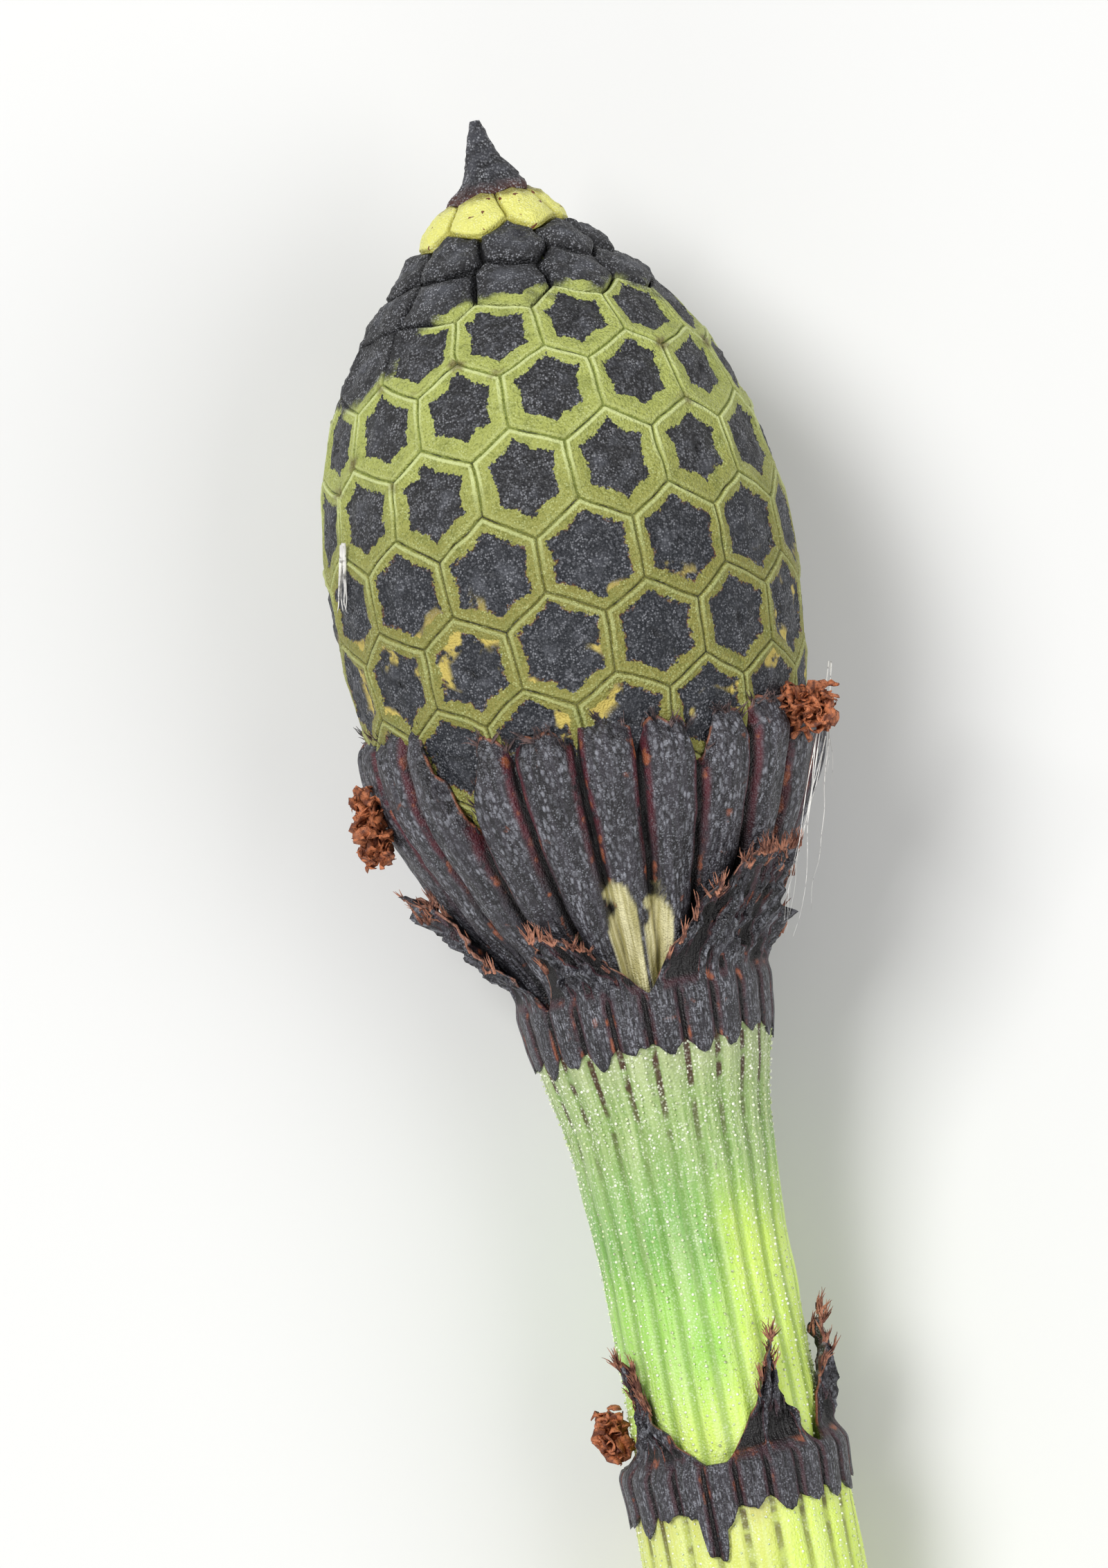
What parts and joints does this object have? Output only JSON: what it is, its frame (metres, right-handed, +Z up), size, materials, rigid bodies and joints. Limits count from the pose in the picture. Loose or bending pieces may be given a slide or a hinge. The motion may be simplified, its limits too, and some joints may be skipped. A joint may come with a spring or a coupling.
{
  "type": "horsetail cone on a cut stem",
  "caption": "Cut tip of a horsetail shoot lying on its side: beaked cone of hexagonal shields in a ribbed cup sheath on a jointed, ribbed stem.",
  "frame": {"origin": "centre of the bounding box's bottom, on the surface that the shoot lies on", "axes": "+Y along the shoot towards the cone's tip, +X to the right seen from above with the tip up, +Z up"},
  "size_m": [0.0086, 0.03, 0.0075],
  "materials": {
    "shields": "charcoal hexagonal shields with olive-green rims, dry and slightly sparkling",
    "crown": "pale lemon-yellow, plump and satin",
    "beak": "dark grey, wrinkled and matt",
    "sheath": "black, papery, with silvery ribs and dark red grooves",
    "upper_stem": "sage green to lime, ribbed, with rows of fine silica bumps",
    "lower_stem": "yellow-green, ribbed, with rows of fine silica bumps",
    "withered": "rust-brown, crumpled and matt"
  },
  "bodies": {
    "root": {"cone": "shields", "crown_whorl": "crown", "beak": "beak", "cup_sheath": "sheath", "shoulder_sheath": "sheath", "upper_internode": "upper_stem", "node_sheath": "sheath", "lower_internode": "lower_stem", "withered_tip_right": "withered", "withered_tip_left": "withered", "withered_tip_node": "withered"}
  },
  "joints": []
}
